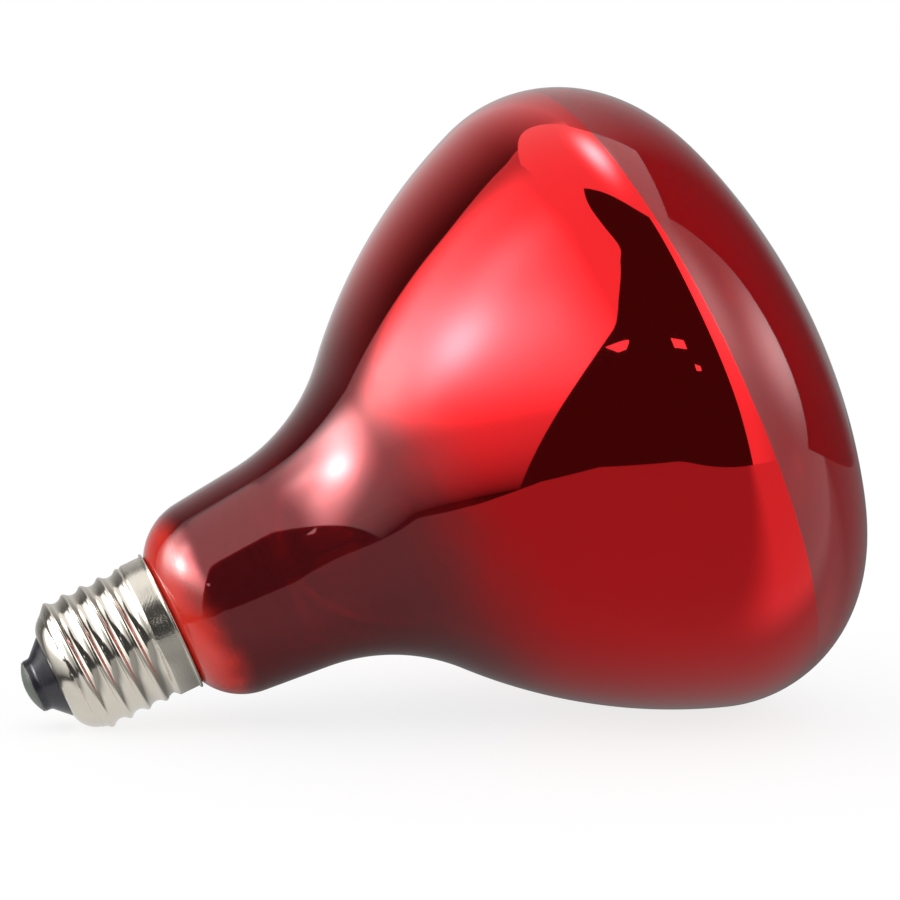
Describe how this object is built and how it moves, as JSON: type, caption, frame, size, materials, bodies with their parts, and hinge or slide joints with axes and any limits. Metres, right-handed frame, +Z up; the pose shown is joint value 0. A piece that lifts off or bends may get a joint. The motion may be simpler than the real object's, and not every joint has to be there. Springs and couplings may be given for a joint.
{
  "type": "infrared reflector heat lamp",
  "caption": "Red glass heat lamp lying on its side: a flared reflector bulb with a domed front on a narrow neck, in a rolled metal screw cap with a black insulator and a centre contact.",
  "frame": {"origin": "on the surface the lamp lies on, below the middle of its box", "axes": "+X along the surface from the cap to the dome, +Z up; the lamp's own axis rises from the cap to the dome by 24.5 degrees in the XZ plane"},
  "size_m": [0.1576, 0.125, 0.1188],
  "materials": {
    "ruby_glass": "red glass with a mirror coat inside",
    "nickel_plate": "nickel plate, bright",
    "black_glass": "black glass, fired",
    "contact_metal": "tinned, matte",
    "solder": "dull tin solder",
    "cement": "baked cement, matte",
    "lead_wire": "nickel wire",
    "clear_glass": "clear glass",
    "shield_metal": "rolled sheet",
    "hook_wire": "molybdenum wire",
    "tungsten": "coiled tungsten wire"
  },
  "bodies": {
    "root": {"glass_bulb": "ruby_glass", "screw_shell": "nickel_plate", "cap_insulator": "black_glass", "centre_contact": "contact_metal", "contact_solder": "solder", "cap_cement": "cement", "contact_lead": "lead_wire", "shell_lead": "lead_wire", "glass_stem": "clear_glass", "exhaust_tube": "clear_glass", "heat_shield": "shield_metal", "support_rod": "clear_glass", "support_hook_1": "hook_wire", "support_hook_2": "hook_wire", "support_hook_3": "hook_wire", "filament": "tungsten"}
  },
  "joints": []
}
